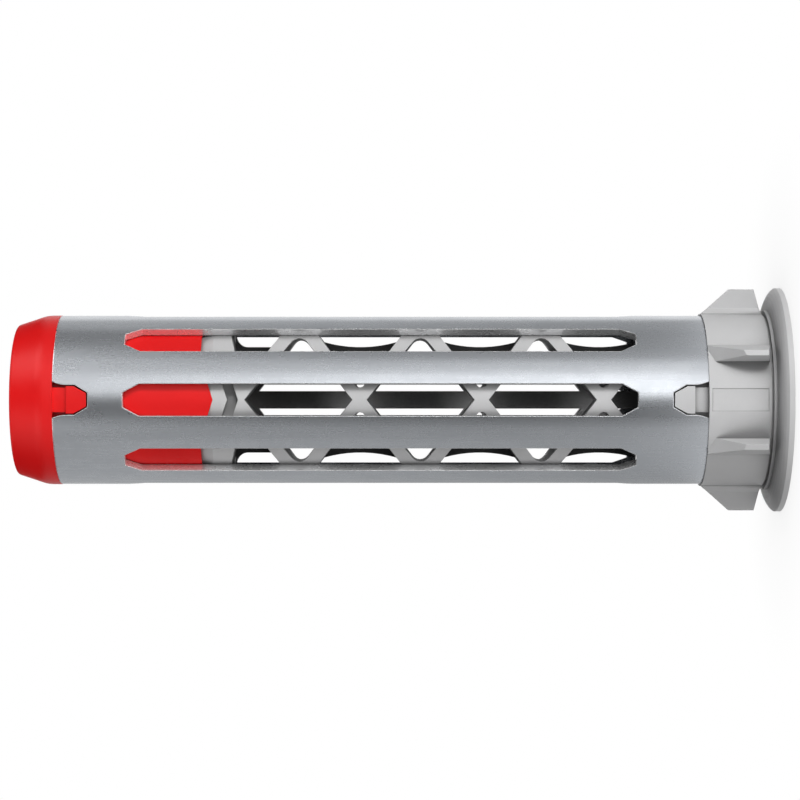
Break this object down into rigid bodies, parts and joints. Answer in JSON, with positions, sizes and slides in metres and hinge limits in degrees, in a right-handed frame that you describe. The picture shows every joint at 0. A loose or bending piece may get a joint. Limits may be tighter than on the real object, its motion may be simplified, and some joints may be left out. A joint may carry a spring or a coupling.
{
  "type": "hollow wall anchor",
  "caption": "Slotted steel sleeve between a finned collar with a collapsible lattice core and a tapered nose; a screw draws the nose back so the sleeve spreads behind the wall.",
  "frame": {"origin": "centre of the flange's outer face, on which the anchor stands", "axes": "+Z along the anchor's axis from the flange to the nose, -Y towards the front keys and the blank panel"},
  "size_m": [0.0156, 0.0156, 0.0533],
  "materials": {
    "galvanised_steel": "galvanised sheet, satin with a faint spangle",
    "grey_plastic": "moulded, satin",
    "red_plastic": "moulded, satin"
  },
  "bodies": {
    "root": {"steel_sleeve": "galvanised_steel", "collar_core": "grey_plastic", "nose_tip": "red_plastic"}
  },
  "joints": []
}
